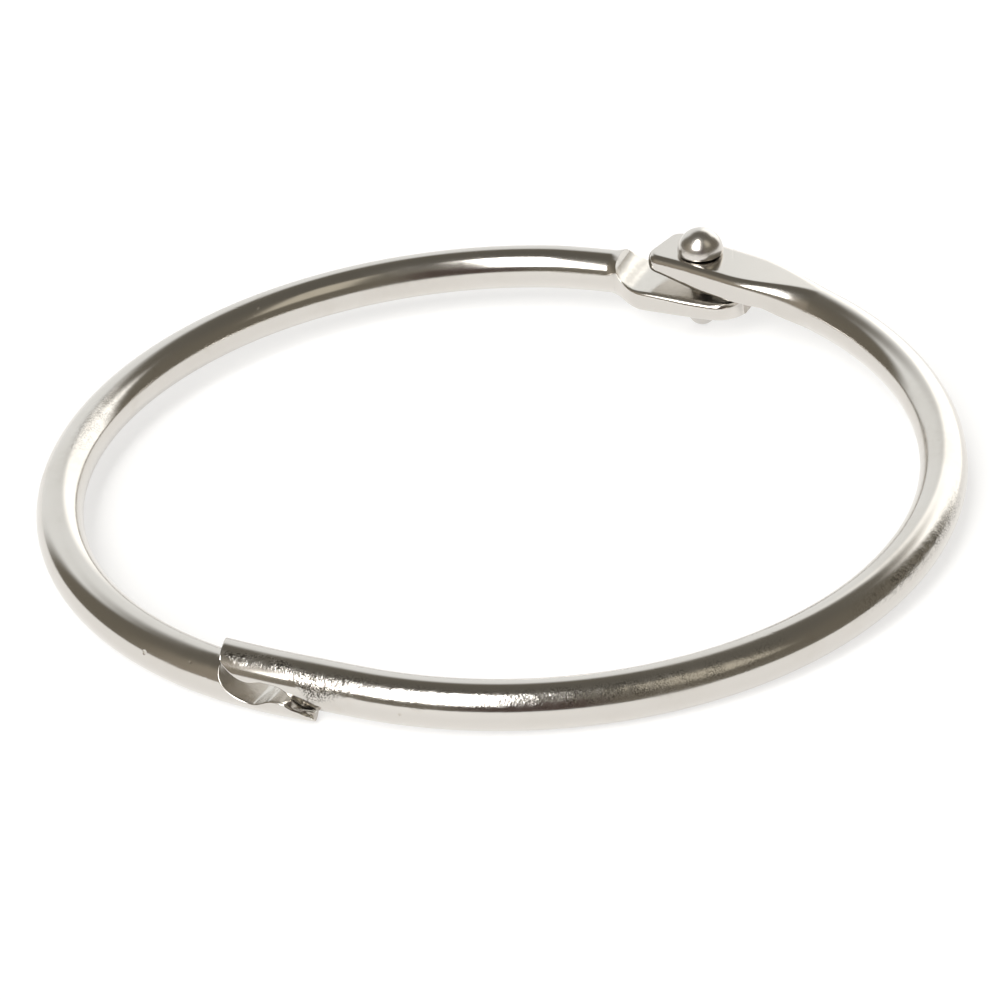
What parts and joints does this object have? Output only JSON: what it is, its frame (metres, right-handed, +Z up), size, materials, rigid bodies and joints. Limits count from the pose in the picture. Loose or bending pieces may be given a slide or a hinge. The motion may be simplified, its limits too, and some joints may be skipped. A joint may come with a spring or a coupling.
{
  "type": "shower curtain ring",
  "caption": "Hinged snap ring of round wire: two half hoops riveted at flattened ends, with lapped toothed ends that snap shut, to hang a curtain from a rod.",
  "frame": {"origin": "on the table, under the middle of the ring as it lies flat with its rivet's head up", "axes": "+Z up; +Y from the ring's middle to the rivet; +X from the left half to the right half"},
  "size_m": [0.063, 0.0618, 0.0078],
  "materials": {
    "wire": "polished nickel plating",
    "rivet": "polished nickel plating, slightly dulled"
  },
  "bodies": {
    "left": {"left_half": "wire"},
    "pin": {"rivet": "rivet"},
    "right": {"right_half": "wire"}
  },
  "joints": [
    {"name": "catch", "type": "hinge", "parent": "left", "child": "pin", "pos_m": [0.00054, 0.0285, 0.00291], "axis": [-0.9998, 0, 0.0199], "range_deg": [0, 1.5]},
    {"name": "swing", "type": "hinge", "parent": "pin", "child": "right", "pos_m": [0.00056, 0.02846, 0.00405], "axis": [0.0199, -0.0376, 0.9991], "range_deg": [0, 148]}
  ]
}
